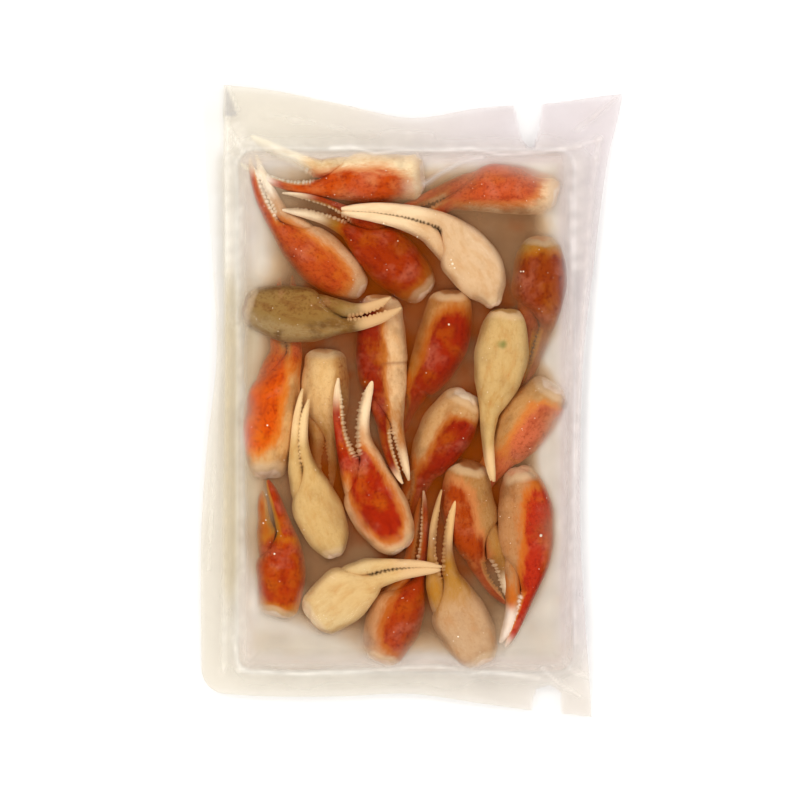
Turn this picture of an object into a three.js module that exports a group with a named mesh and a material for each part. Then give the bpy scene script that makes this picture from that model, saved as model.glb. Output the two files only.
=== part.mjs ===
// A flat sealed pouch of frozen cooked snow crab claws, lying on its back.
//
// The pouch is one closed solid: a block of claws set in ice, with the two films of the
// margin pressed together all round it. It rests on the flat underside of the block.
// Millimetres, +Z up. The origin is the middle of the solid's box, on the surface it lies on.

import * as THREE from 'three';

// The pouch as it was cut.
const POUCH_WIDTH = 200;
const POUCH_LENGTH = 300;

// The block of ice and claws: its foot where the films meet, and its height.
const BLOCK = { x: -2.5, y: -5, width: 160, length: 248, corner: 13 };
const BLOCK_HEIGHT = 21.5;      // top of the ice between the claws
const TOP_SHOULDER = 14;        // way in from the foot to the full height
const UNDER_SHOULDER = 10;      // way in from the foot to the flat underside

// The margin: both films together, thickened so that it stays one solid.
const MARGIN_THICKNESS = 1;
const MARGIN_HEIGHT = 6;        // where it leaves the block
const MARGIN_EDGE_HEIGHT = 2.2; // at the pouch's own edge
const MARGIN_DROOP = 20;        // way out from the block over which it droops
const MARGIN_WAVE = { depth: 0.9, length: 92, slant: 0.4, start: 12 };
const ROUNDED_CORNER = 11;      // radius of the one rounded corner, at the foot on the left

// The four edges of the pouch, drawn in and let out by the vacuum, each as a few points.
const LEFT_EDGE = [[-99, -150], [-99.5, -113], [-99.5, -76], [-96.5, -38], [-92, 10], [-94, 52],
  [-97, 100], [-99.5, 150]];
const RIGHT_EDGE = [[85.5, -150], [82.5, -113], [80, -76], [80, -30], [81.5, 15], [86.5, 66],
  [92, 110], [100, 150]];
const FOOT_EDGE = [[-100, -138.5], [-62, -140], [-25, -140], [5, -138.8], [35, -143.5], [62, -148],
  [100, -150]];
const MOUTH_EDGE = [[-100, 150], [-70, 147], [-40, 140.5], [-8, 133.8], [22, 138.6], [60, 141],
  [100, 145]];

// The claws' palms that lift the top film: from the cut end to the fork, with the width of the
// palm and how far its back stands above the ice. The lift is full along the palm's crown, a
// stretch of that line, and is gone at PALM_SPREAD widths to the side.
const PALM_CROWN = { from: 0.1, to: 0.85 };
const PALM_SPREAD = 0.75;
const PALMS = [
  { cut: [5, 106], fork: [-41, 106], width: 21, rise: 0.8 },
  { cut: [-24, 54], fork: [-61, 83], width: 25, rise: 1.2 },
  { cut: [38, 48], fork: [13, 82], width: 26, rise: 3.2 },
  { cut: [66, 95], fork: [28, 97], width: 20, rise: 0.8 },
  { cut: [62, 76], fork: [61, 35], width: 24, rise: 0.8 },
  { cut: [-77, 46], fork: [-33, 40], width: 20, rise: 1.8 },
  { cut: [-68, -34], fork: [-59, 18], width: 24, rise: 0.8 },
  { cut: [-36, -72], fork: [-51, -35], width: 22, rise: 2.8 },
  { cut: [-4, -68], fork: [-24, -30], width: 26, rise: 3 },
  { cut: [-13, 47], fork: [-10, -8], width: 23, rise: 2.2 },
  { cut: [18, 50], fork: [4, 8], width: 25, rise: 1 },
  { cut: [44, 41], fork: [39, -9], width: 24, rise: 2.2 },
  { cut: [26, 1], fork: [7, -35], width: 25, rise: 1.6 },
  { cut: [66, 6], fork: [43, -27], width: 25, rise: 0.9 },
  { cut: [-65, -99], fork: [-66, -63], width: 22, rise: 0.8 },
  { cut: [-46, -105], fork: [-19, -83], width: 23, rise: 2.8 },
  { cut: [-14, -122], fork: [-1, -85], width: 24, rise: 1 },
  { cut: [33, -122], fork: [17, -88], width: 25, rise: 2 },
  { cut: [27, -32], fork: [34, -73], width: 23, rise: 1.2 },
  { cut: [50, -34], fork: [52, -87], width: 25, rise: 1.8 },
];

// How finely the surface is laid out: cells across each stretch of the pouch.
const CELLS = { margin: 3, shoulder: 4, across: 17, along: 27 };

const smooth = (t) => {
  const k = THREE.MathUtils.clamp(t, 0, 1);
  return k * k * (3 - 2 * k);
};

// A quarter of an ellipse: upright at 0, level at 1.
const roundShoulder = (t) => {
  const k = THREE.MathUtils.clamp(t, 0, 1);
  return Math.sqrt(1 - (1 - k) * (1 - k));
};

const splineThrough = (points) =>
  new THREE.SplineCurve(points.map(([x, y]) => new THREE.Vector2(x, y)));

const leftEdge = splineThrough(LEFT_EDGE);
const rightEdge = splineThrough(RIGHT_EDGE);
const footEdge = splineThrough(FOOT_EDGE);
const mouthEdge = splineThrough(MOUTH_EDGE);

// Distance in from the block's foot outline, a rectangle with round corners.
function depthInBlock(x, y) {
  const inner = {
    x: BLOCK.width / 2 - BLOCK.corner,
    y: BLOCK.length / 2 - BLOCK.corner,
  };
  const dx = Math.abs(x - BLOCK.x) - inner.x;
  const dy = Math.abs(y - BLOCK.y) - inner.y;
  const outside = Math.hypot(Math.max(dx, 0), Math.max(dy, 0));
  return BLOCK.corner - outside - Math.min(Math.max(dx, dy), 0);
}

// The middle of the margin's thickness: it droops from the block to the pouch's edge, in waves.
function marginHeight(x, y) {
  const away = THREE.MathUtils.clamp(-depthInBlock(x, y) / MARGIN_DROOP, 0, 1);
  const droop = THREE.MathUtils.lerp(MARGIN_HEIGHT, MARGIN_EDGE_HEIGHT, smooth(away));
  const turn = (2 * Math.PI) / MARGIN_WAVE.length;
  const acrossWave = Math.sin(turn * (x + MARGIN_WAVE.slant * y));
  const alongWave = Math.cos(turn * (y - MARGIN_WAVE.start));
  return droop + MARGIN_WAVE.depth * away * acrossWave * alongWave;
}

// How far one palm lifts the film: full over its back, falling off round it.
function palmRise(palm, x, y) {
  const [ax, ay] = palm.cut;
  const [bx, by] = palm.fork;
  const along = ((x - ax) * (bx - ax) + (y - ay) * (by - ay)) / ((bx - ax) ** 2 + (by - ay) ** 2);
  const t = THREE.MathUtils.clamp(along, PALM_CROWN.from, PALM_CROWN.to);
  const away = Math.hypot(x - ax - t * (bx - ax), y - ay - t * (by - ay));
  return palm.rise * (1 - smooth(away / (PALM_SPREAD * palm.width)));
}

function topHeight(x, y) {
  const margin = marginHeight(x, y) + MARGIN_THICKNESS / 2;
  const shoulder = roundShoulder(depthInBlock(x, y) / TOP_SHOULDER);
  const rise = Math.max(...PALMS.map((palm) => palmRise(palm, x, y)));
  return margin + (BLOCK_HEIGHT + rise - margin) * shoulder;
}

function underHeight(x, y) {
  const margin = marginHeight(x, y) - MARGIN_THICKNESS / 2;
  return margin * (1 - roundShoulder(depthInBlock(x, y) / UNDER_SHOULDER));
}

// Lines of the layout along one direction of a plain POUCH_WIDTH by POUCH_LENGTH sheet.
function layoutLines(sheet, centre, block, cells) {
  const stops = [
    -sheet / 2,
    centre - block / 2,
    centre - block / 2 + TOP_SHOULDER,
    centre + block / 2 - TOP_SHOULDER,
    centre + block / 2,
    sheet / 2,
  ];
  const counts = [CELLS.margin, CELLS.shoulder, cells, CELLS.shoulder, CELLS.margin];
  const lines = [stops[0]];
  counts.forEach((count, stretch) => {
    for (let i = 1; i <= count; i += 1) {
      lines.push(THREE.MathUtils.lerp(stops[stretch], stops[stretch + 1], i / count));
    }
  });
  return lines;
}

// The way a point moves when the square corner at [cornerX, cornerY], which points along
// [signX, signY], is pressed into a quarter of a disc. Past the corner the move stays as it is
// on the corner's sides.
function pressCorner(x, y, cornerX, cornerY, signX, signY, radius) {
  const a = THREE.MathUtils.clamp(1 + (signX * (x - cornerX)) / radius, 0, 1);
  const b = THREE.MathUtils.clamp(1 + (signY * (y - cornerY)) / radius, 0, 1);
  return [
    signX * radius * a * (Math.sqrt(1 - (b * b) / 2) - 1),
    signY * radius * b * (Math.sqrt(1 - (a * a) / 2) - 1),
  ];
}

// Moves a point of the plain sheet onto the pouch. Its edges are drawn in by the vacuum, a pull
// that is whole at an edge and gone at the block's foot, and the layout is rounded at the
// block's corners, a move that is gone at the pouch's edge.
function onPouch(sheetX, sheetY) {
  const halfW = POUCH_WIDTH / 2;
  const halfL = POUCH_LENGTH / 2;
  const footX = { left: BLOCK.x - BLOCK.width / 2, right: BLOCK.x + BLOCK.width / 2 };
  const footY = { low: BLOCK.y - BLOCK.length / 2, high: BLOCK.y + BLOCK.length / 2 };
  const share = (from, to, at) => THREE.MathUtils.clamp((at - from) / (to - from), 0, 1);
  const pull = {
    left: share(footX.left, -halfW, sheetX),
    right: share(footX.right, halfW, sheetX),
    low: share(footY.low, -halfL, sheetY),
    high: share(footY.high, halfL, sheetY),
  };
  const v = (sheetY + halfL) / POUCH_LENGTH;
  const u = (sheetX + halfW) / POUCH_WIDTH;
  const press = pressCorner(sheetX, sheetY, -halfW, -halfL, -1, -1, ROUNDED_CORNER);
  let x = sheetX + press[0];
  let y = sheetY + press[1];
  x += pull.left * (leftEdge.getPoint(v).x + halfW);
  x += pull.right * (rightEdge.getPoint(v).x - halfW);
  y += pull.low * (footEdge.getPoint(u).y + halfL);
  y += pull.high * (mouthEdge.getPoint(u).y - halfL);
  const stay = 1 - Math.max(pull.left, pull.right, pull.low, pull.high);
  for (const [cornerX, signX] of [[footX.left, -1], [footX.right, 1]]) {
    for (const [cornerY, signY] of [[footY.low, -1], [footY.high, 1]]) {
      const move = pressCorner(sheetX, sheetY, cornerX, cornerY, signX, signY, BLOCK.corner);
      x += stay * move[0];
      y += stay * move[1];
    }
  }
  return [x, y];
}

// The closed skin: a top sheet and an underside on the same layout, joined round the edge.
function pouchGeometry() {
  const columns = layoutLines(POUCH_WIDTH, BLOCK.x, BLOCK.width, CELLS.across);
  const rows = layoutLines(POUCH_LENGTH, BLOCK.y, BLOCK.length, CELLS.along);
  const wide = columns.length;
  const high = rows.length;
  const plan = rows.flatMap((row) => columns.map((column) => onPouch(column, row)));
  const top = plan.flatMap(([x, y]) => [x, y, topHeight(x, y)]);
  const under = plan.flatMap(([x, y]) => [x, y, underHeight(x, y)]);
  const at = (i, j) => j * wide + i;
  const below = wide * high;
  const faces = [];
  for (let j = 0; j < high - 1; j += 1) {
    for (let i = 0; i < wide - 1; i += 1) {
      const [a, b, c, d] = [at(i, j), at(i + 1, j), at(i + 1, j + 1), at(i, j + 1)];
      faces.push(a, b, c, a, c, d);
      faces.push(below + a, below + c, below + b, below + a, below + d, below + c);
    }
  }
  const rim = [];
  for (let i = 0; i < wide - 1; i += 1) rim.push(at(i, 0));
  for (let j = 0; j < high - 1; j += 1) rim.push(at(wide - 1, j));
  for (let i = wide - 1; i > 0; i -= 1) rim.push(at(i, high - 1));
  for (let j = high - 1; j > 0; j -= 1) rim.push(at(0, j));
  rim.forEach((p, k) => {
    const q = rim[(k + 1) % rim.length];
    faces.push(below + p, below + q, q, below + p, q, p);
  });
  const geometry = new THREE.BufferGeometry();
  geometry.setAttribute('position', new THREE.Float32BufferAttribute([...top, ...under], 3));
  geometry.setIndex(faces);
  geometry.computeVertexNormals();
  geometry.computeBoundingBox();
  const middle = geometry.boundingBox.getCenter(new THREE.Vector3());
  geometry.translate(-middle.x, -middle.y, 0);
  return geometry;
}

const film = new THREE.MeshStandardMaterial({ color: 0xd9bc95, roughness: 0.3, metalness: 0 });

const sealedPouch = new THREE.Mesh(pouchGeometry(), film);
sealedPouch.name = 'sealed_pouch';

const group = new THREE.Group();
group.add(sealedPouch);

export default group;
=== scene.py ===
import math
from dataclasses import dataclass

import bpy
import numpy as np
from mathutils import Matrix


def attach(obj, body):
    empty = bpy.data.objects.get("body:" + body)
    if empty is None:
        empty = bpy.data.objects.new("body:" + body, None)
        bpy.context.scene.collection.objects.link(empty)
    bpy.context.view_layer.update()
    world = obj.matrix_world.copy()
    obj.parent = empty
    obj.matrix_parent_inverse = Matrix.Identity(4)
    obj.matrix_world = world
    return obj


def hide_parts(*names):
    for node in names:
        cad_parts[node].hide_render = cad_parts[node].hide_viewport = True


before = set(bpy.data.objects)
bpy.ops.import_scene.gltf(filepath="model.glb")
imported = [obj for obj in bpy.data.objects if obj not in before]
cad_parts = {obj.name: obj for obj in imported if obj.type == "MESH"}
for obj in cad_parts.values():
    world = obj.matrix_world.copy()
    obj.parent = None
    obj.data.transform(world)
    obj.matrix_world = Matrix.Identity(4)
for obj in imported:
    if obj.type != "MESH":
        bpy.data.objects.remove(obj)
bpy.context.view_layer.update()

# A flat sealed pouch of frozen cooked snow crab claws, lying on its back. The claws are set in
# ice under a clear film. Lengths here are millimetres, turned to metres as a mesh is made.
MM = 0.001

# The camera hangs straight over the pouch.
CAMERA_PLAN = (-5.2, 0.2)
CAMERA_HEIGHT = 1100.0
FIELD = 380.0               # what the picture spans on the table
SENSOR = 36.0

# The room: the lights' bearings and strengths, their angle from overhead and their spread.
WINDOWS = ((128, 0.95), (38, 0.55), (-52, 0.55), (-142, 0.45))
WINDOW_TILT, WINDOW_SPREAD = 42, 22
TABLE_SIZE = 6.0            # metres

# The pouch, as it was cut and as the vacuum shaped it.
POUCH_WIDTH = 200.0
POUCH_LENGTH = 300.0
BLOCK_X, BLOCK_Y = -2.5, -5.0
BLOCK_WIDTH, BLOCK_LENGTH = 160.0, 248.0
BLOCK_CORNER = 9.0
BLOCK_HEIGHT = 21.5         # top of the ice between the claws
TOP_SHOULDER = 14.0         # way in from the block's foot to its full height
UNDER_SHOULDER = 10.0       # way in from the block's foot to the flat underside
MARGIN_HEIGHT = 6.0
MARGIN_EDGE_HEIGHT = 2.2
MARGIN_DROOP = 20.0
MARGIN_WAVE_DEPTH, MARGIN_WAVE_LENGTH, MARGIN_WAVE_SLANT, MARGIN_WAVE_START = 0.9, 92.0, 0.4, 12.0
MARGIN_THICKNESS = 0.5      # both films of the margin, with the air left between them
ROUNDED_CORNER = (-99.3, -138.6, 11.0)  # the foot's left corner and how far it is pressed
LEFT_EDGE = [(-99, -150), (-99.5, -113), (-99.5, -76), (-96.5, -38), (-92, 10), (-94, 52),
             (-97, 100), (-99.5, 150)]
RIGHT_EDGE = [(85.5, -150), (82.5, -113), (80, -76), (80, -30), (81.5, 15), (86.5, 66),
              (92, 110), (100, 150)]
FOOT_EDGE = [(-100, -138.5), (-62, -140), (-25, -140), (5, -138.8), (35, -143.5), (62, -148),
             (100, -150)]
MOUTH_EDGE = [(-100, 150), (-70, 147), (-40, 140.5), (-8, 133.8), (22, 138.6), (60, 141),
              (100, 145)]

# How the layers lie on each other.
FILM_OVER_CLAW = 0.3        # from a claw's back to the film
ICE_UNDER_FILM = 0.14
BED_TOP, BED_UNDER = 8.0, 3.5   # the cloudy ice among the claws
FILM_CELLS = (178, 272)
ICE_CELLS = (178, 272)
BED_CELLS = (150, 230)
MAP_STEP = 0.6              # cells of the height map of the claws
MAP_MARGIN = 6.0            # how far the map goes past the pouch
STATION_STEP = 1.2          # between the stations of a claw that the map takes
COVER_REACH = 14.0          # radius over which the share of claws round a place is taken
BUBBLES = 170
BUBBLE_GAP = 0.35           # from a bubble to the film
HIGH_BACK = 15.0            # height from which a claw's back has bubbles over it
CLEAR_COVER = 0.35          # share of claws round a place up to which the ice stays white, free of painted shade
CLEAR_DEPTH = 1.6           # of ice over a claw, by the block's side
HAZE_DEPTH = 8.0            # further depth over which the ice turns milky there
MOST_HAZE = 0.93


@dataclass
class Claw:
    """One claw, drawn by its palm's line and its two finger tips, in the plan of the picture."""

    number: int
    cut: tuple              # middle of the cut end
    fork: tuple             # where the fingers part
    tips: tuple             # of the fixed finger and of the moving one
    hand: int               # +1 if the fixed finger is on the left, looking along the claw
    width: float            # of the palm
    cut_share: float        # width of the cut end, as a share of the palm's
    heights: tuple          # of the middle at the cut, the fork and the two tips
    shell: str              # the pale colour
    fingers: tuple = (4.5, 4.5)     # width of each finger half way
    bows: tuple = (1, 1)    # how far each finger bows away from the other, half way
    blush: str = "#b23206"  # the red of the patch
    patch: tuple = (0, 0, 0, 0)     # red patch: its middle and half width across, its ends along
    finger_blush: tuple = (0, 0)    # how red each finger is
    white_from: tuple = (2, 2)      # where each finger's white tip starts; 2 is nowhere
    olive: float = 0.0      # how olive the fork is
    palm_bow: float = 0.0   # how far the palm bows to the left, half way
    neck: float = 0.62      # width at the fork, as a share of the palm's
    slant: float = 0.15     # how far the cut face looks up
    crack: float = 0.0      # place of a crack across the palm
    spot: tuple = (0, 0, 0)         # green spot: its place along and across, and radius
    horn: str = "#f8dfbc"   # of the white tips
    mottle: float = 0.35    # how strongly the pale shell is clouded with brown
    teeth: float = 1.0      # how tall its teeth stand
    closed: bool = False    # the fixed finger lies right over the moving one
    ember: str = "#e29014"  # mixed with the red where it fades into the pale shell
    flesh_and_shade: str = "#fff0dc"  # of the meat in the cut end; darker for claws 12, 13, 14 and 21 as painted shade of the gaps round them
    teeth_gap_shade: float = 0.0      # how dark the painted shade is along the line between its closed teeth


CLAWS = [
    Claw(1, cut=(4.5, 106), fork=(-42.5, 105.5), tips=((-81, 112.5), (-76, 125.5)), hand=+1,
         width=23, cut_share=0.95, fingers=(4.2, 5.8), bows=(4, -1), heights=(12, 14.5, 19, 19),
         shell="#fae2b6", blush="#c44a06", ember="#f4bc78", patch=(0.6, 0.95, 0.1, 1.2),
         finger_blush=(1, 0.05), white_from=(0.6, 0.3), horn="#fff8e4", olive=0.55, neck=0.8),
    Claw(2, cut=(-24, 53), fork=(-62, 85), tips=((-76.5, 115), (-73.5, 116.5)), hand=+1,
         width=24.5, cut_share=0.6, fingers=(4.4, 4.2), bows=(2.5, -1), heights=(11, 14, 19, 19),
         shell="#dcb088", blush="#bc4c1a", patch=(0.4, 0.88, 0.06, 1.05), finger_blush=(1, 0),
         white_from=(0.85, 0.35), horn="#fff0d6", olive=0.3, palm_bow=1.5, neck=0.54),
    Claw(3, cut=(6.5, 52), fork=(-27, 83), tips=((-61, 90.5), (-61, 98.5)), hand=+1, width=25.5,
         cut_share=0.7, fingers=(4.4, 3.2), bows=(-2, 3), heights=(10, 13, 18.5, 19),
         shell="#a97836", blush="#a23202", ember="#c87810", patch=(0.05, 1.2, 0.06, 1.15),
         finger_blush=(0, 1), white_from=(0.4, 0.72), olive=0.8),
    Claw(4, cut=(39, 46.5), fork=(12.5, 81.5), tips=((-33, 91), (-33, 89)), hand=-1, width=25.5,
         cut_share=0.42, fingers=(6.4, 5.8), bows=(4.2, -3), heights=(14.5, 16.5, 21, 20.5),
         shell="#e0be98", white_from=(0.22, 0.2), mottle=0.1, palm_bow=-3.5, neck=0.72,
         teeth=0.45, teeth_gap_shade=1.0),
    Claw(5, cut=(67.5, 96.5), fork=(19.5, 97.5), tips=((-14, 77), (-14.5, 85)), hand=+1,
         width=23.5, cut_share=0.85, heights=(11, 11, 10, 11), shell="#fad0a0", blush="#cc5426",
         ember="#d8820c", patch=(-0.3, 0.98, 0.14, 1.1), finger_blush=(0.8, 0.8), olive=0.5,
         mottle=0.6, palm_bow=-3.5),
    Claw(6, cut=(61.3, 76), fork=(60.8, 36), tips=((54.5, 8.5), (53, 8.5)), hand=+1, width=26,
         cut_share=0.7, fingers=(5, 4), bows=(1, 0.5), heights=(11, 11, 10, 10), shell="#b88430",
         blush="#8e3604", ember="#c8780c", patch=(0.1, 1.3, 0.12, 1.15), finger_blush=(1, 1),
         olive=0.8, flesh_and_shade="#e8bc8c"),
    Claw(7, cut=(-77.5, 45), fork=(-32.5, 39.5), tips=((-4.5, 44), (-9.5, 49)), hand=-1,
         width=26.5, cut_share=0.72, fingers=(5, 4.6), bows=(2.5, -2), heights=(13, 16, 22, 22),
         shell="#a08458", blush="#94703a", ember="#8c6c36", patch=(0.7, 0.9, -0.2, 0.95),
         white_from=(0.32, 0.36), horn="#dcb688", olive=0.35, mottle=0.75, flesh_and_shade="#b09068",
         palm_bow=-1.5, neck=0.6),
    Claw(8, cut=(-68, -34.5), fork=(-59.5, 21.5), tips=((-56.5, 60), (-62, 58.5)), hand=-1,
         width=25.5, cut_share=0.7, heights=(11.5, 11, 7, 7), shell="#dcab70", blush="#d85402",
         patch=(0.42, 0.8, 0.14, 1.05), finger_blush=(0.9, 0.9), palm_bow=2.5, slant=0.5),
    Claw(9, cut=(-40.5, 22.5), fork=(-41, -17.5), tips=((-38.5, -49.5), (-42.5, -48)), hand=+1,
         width=23, cut_share=0.85, fingers=(4, 4), heights=(11, 9, 6, 6), shell="#eac68e",
         blush="#c8965a", ember="#c49050", patch=(1.0, 0.5, -0.3, 1.4), olive=0.6, mottle=0.4,
         flesh_and_shade="#d8a878", slant=0.1),
    Claw(10, cut=(-36, -72.5), fork=(-51.5, -33), tips=((-48.5, 0.5), (-51.5, 5.5)), hand=-1,
         width=23, cut_share=0.58, fingers=(4.4, 3.8), bows=(-3, 2), heights=(14, 15.5, 18.5, 18),
         shell="#d6b47a", white_from=(0.42, 0.45), horn="#f4d6a4", olive=0.25, mottle=0.12,
         teeth=0.6, teeth_gap_shade=0.5),
    Claw(11, cut=(-4.5, -69), fork=(-24, -29.5), tips=((-17.5, 11), (-34.5, 10.5)), hand=-1,
         width=27.5, cut_share=0.65, fingers=(5.4, 4.8), bows=(-4.5, 3),
         heights=(14.5, 16, 19.5, 19.5), shell="#deb083", blush="#aa2602",
         patch=(0.0, 0.7, 0.06, 1.2), finger_blush=(0.1, 1), white_from=(0.42, 0.76),
         horn="#f8e0bc", olive=0.1, palm_bow=2, neck=0.76, teeth=1.3),
    Claw(12, cut=(-13.5, 48), fork=(-10, -10.5), tips=((-1, -38), (-4, -39.5)), hand=+1, width=24,
         cut_share=0.8, fingers=(4, 4.2), bows=(0, 2), heights=(12.5, 14.5, 19, 19.5),
         shell="#e6c094", blush="#902402", patch=(-0.75, 0.85, -0.05, 1.1), finger_blush=(0.3, 1),
         white_from=(0.45, 0.8), horn="#f6dcb8", olive=0.3, flesh_and_shade="#c89060", palm_bow=-2,
         neck=0.54, crack=0.53),
    Claw(13, cut=(18.5, 50.5), fork=(3, 6), tips=((-7.5, -21.5), (-5, -19)), hand=+1, width=25,
         cut_share=0.8, heights=(12, 11, 7, 7), shell="#c08448", blush="#9c2402", ember="#cc7c10",
         patch=(0.35, 0.9, 0.12, 1.15), finger_blush=(1, 0.6), olive=0.6, flesh_and_shade="#b07a4c",
         palm_bow=4, closed=True),
    Claw(14, cut=(44.5, 41.5), fork=(37.5, -5), tips=((39.5, -38.5), (38, -38)), hand=+1,
         width=25.5, cut_share=0.72, fingers=(5.2, 3), bows=(-1.6, 1.2),
         heights=(13.5, 14.5, 18.5, 18), shell="#d2b27a", white_from=(0.55, 0.6), horn="#ecca9a",
         olive=0.3, mottle=0.15, flesh_and_shade="#c8a46a", palm_bow=1.5, neck=0.4, spot=(0.32, -0.05, 0.2),
         teeth=0, closed=True),
    Claw(15, cut=(26, 1.5), fork=(6, -33), tips=((-6, -68.5), (-9, -65)), hand=+1, width=25.5,
         cut_share=0.72, heights=(13, 11.5, 7, 7), shell="#c99c6a", blush="#982202",
         ember="#cc7c10", patch=(0.65, 0.85, 0.18, 1.15), finger_blush=(1, 0.6), slant=0.5,
         closed=True),
    Claw(16, cut=(67, 6), fork=(43.5, -26), tips=((24, -59.5), (21, -57)), hand=+1, width=26,
         cut_share=0.75, heights=(11, 10.5, 7, 7), shell="#c89860", blush="#d06c46",
         patch=(0.58, 0.8, 0.12, 1), finger_blush=(0.8, 0.5), olive=0.4, slant=0.5, closed=True),
    Claw(17, cut=(-64, -100.5), fork=(-64, -63), tips=((-68, -38), (-70.8, -43)), hand=-1,
         width=23, cut_share=0.85, fingers=(6, 5.2), bows=(0.5, 0.5),
         heights=(12, 13, 17.5, 17.5), shell="#d09440", blush="#ae3602", ember="#d88810",
         patch=(0, 1.2, 0.06, 0.95), finger_blush=(1, 0.6), olive=0.9, palm_bow=-2.5, neck=0.8,
         teeth=0),
    Claw(18, cut=(-46, -103.5), fork=(-19, -82.5), tips=((14, -80.5), (14.5, -79)), hand=-1,
         width=26.5, cut_share=0.8, fingers=(5.4, 4.4), bows=(-1.5, 2),
         heights=(14.5, 16, 20, 20.5), shell="#debe88", white_from=(0.4, 0.4), horn="#e4c296",
         olive=0.08, mottle=0.06, flesh_and_shade="#ffecc8", neck=0.64, teeth=0.45, teeth_gap_shade=0.8),
    Claw(19, cut=(-15, -122), fork=(0.5, -84.5), tips=((6, -43), (4.5, -46.5)), hand=-1, width=26,
         cut_share=0.75, fingers=(3.6, 3.5), bows=(2, 0), heights=(11, 11.5, 15, 12),
         shell="#cd9464", blush="#ac3806", ember="#c87810", patch=(-0.45, 0.85, 0.1, 1.15),
         finger_blush=(1, 0.6), white_from=(0.92, 2), olive=0.5, neck=0.5),
    Claw(20, cut=(33.5, -123.5), fork=(15.5, -86.5), tips=((21.5, -46.5), (14.5, -42.5)), hand=-1,
         width=26, cut_share=0.72, fingers=(4, 3.4), bows=(-3, 3.5),
         heights=(13, 14.5, 18.5, 18.5), shell="#c8a078", white_from=(0.5, 0.6), horn="#e8c088",
         olive=0.8, mottle=0.15, neck=0.68, teeth=0.9),
    Claw(21, cut=(27.5, -31), fork=(35.5, -72.5), tips=((46, -97), (46.5, -95)), hand=-1,
         width=25, cut_share=0.8, fingers=(4.8, 5.6), bows=(3, 1), heights=(12, 12, 15, 15),
         shell="#b0824e", blush="#a84004", ember="#f0b070", patch=(-0.75, 0.95, 0.12, 1.15),
         finger_blush=(1, 0.05), white_from=(2, 0.5), olive=0.5, flesh_and_shade="#a87044", palm_bow=-4,
         neck=0.85, slant=0.4),
    Claw(22, cut=(51, -34), fork=(52, -90), tips=((45, -117), (42.5, -115)), hand=+1, width=27,
         cut_share=0.6, fingers=(4.8, 5.6), bows=(1, -2), heights=(13, 14, 18.5, 18.5),
         shell="#bc885a", blush="#b82c10", patch=(0.62, 0.8, 0.1, 1.1), finger_blush=(1, 0.45),
         white_from=(0.85, 0.35), horn="#f0dac6", olive=0.3, flesh_and_shade="#e0b490", palm_bow=3.5,
         neck=0.58, slant=0.4),
]


# ---------------------------------------------------------------- small helpers


def smooth(t):
    """0 below 0, 1 above 1, and three t squared less two t cubed between."""
    k = np.clip(t, 0, 1)
    return k * k * (3 - 2 * k)


def window(t, low, high, soft):
    """1 between low and high, falling off smoothly over soft on both sides of each end."""
    return smooth((t - low) / soft + 0.5) * smooth((high - t) / soft + 0.5)


def bell(t, middle, radius):
    """A bell curve: 1 at the middle, and e to the minus square of the way off in radii."""
    return np.exp(-((t - middle) / radius) ** 2)


def bells(x, y, places):
    """The sum of round bells, each given by its middle in plan, its radius and its strength."""
    return sum(strength * bell(np.hypot(x - mx, y - my), 0, radius)
               for mx, my, radius, strength in places)


def ripple(x, y, size):
    """Four sine waves of about the length size that cross at uneven angles, added up, about
    -1 to 1."""
    turn = 2 * np.pi / size
    waves = ((1.0, 0.1, 0.0), (0.62, 0.94, 1.7), (-0.71, 0.83, 4.1), (0.35, -1.31, 2.6))
    return sum(np.sin(turn * (a * x + b * y) + c) for a, b, c in waves) / 3


def to_linear(code):
    """An sRGB hex colour as linear red, green, blue and alpha."""
    parts = np.array([int(code[i:i + 2], 16) for i in (1, 3, 5)]) / 255
    low = parts / 12.92
    high = ((parts + 0.055) / 1.055) ** 2.4
    return (*np.where(parts <= 0.04045, low, high), 1.0)


def node(tree, kind, inputs=(), output=0, **settings):
    """Adds a node with its settings and gives one of its outputs. What goes into an input,
    named or counted, is a number, a row of numbers, a hex colour or another node's output."""
    made = tree.nodes.new("ShaderNode" + kind)
    for name, value in settings.items():
        setattr(made, name, value)
    terms = inputs if isinstance(inputs, dict) else dict(enumerate(inputs))
    for place, term in terms.items():
        if isinstance(term, bpy.types.NodeSocket):
            tree.links.new(term, made.inputs[place])
        else:
            made.inputs[place].default_value = to_linear(term) if isinstance(term, str) else term
    return made.outputs[output] if made.outputs else None


def new_material(name):
    """An empty material and its tree of nodes."""
    material = bpy.data.materials.new(name)
    material.use_nodes = True
    material.node_tree.nodes.clear()
    return material, material.node_tree


def grain(tree, size, detail=2.0, roughness=0.5, distortion=0.0):
    """Soft noise of grains of about size millimetres, 0 to 1, in the object's own space."""
    place = node(tree, "TexCoord", output="Object")
    return node(tree, "TexNoise", {"Vector": place, "Scale": 1 / (size * MM), "Detail": detail,
                                   "Roughness": roughness, "Distortion": distortion}, "Fac")


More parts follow.
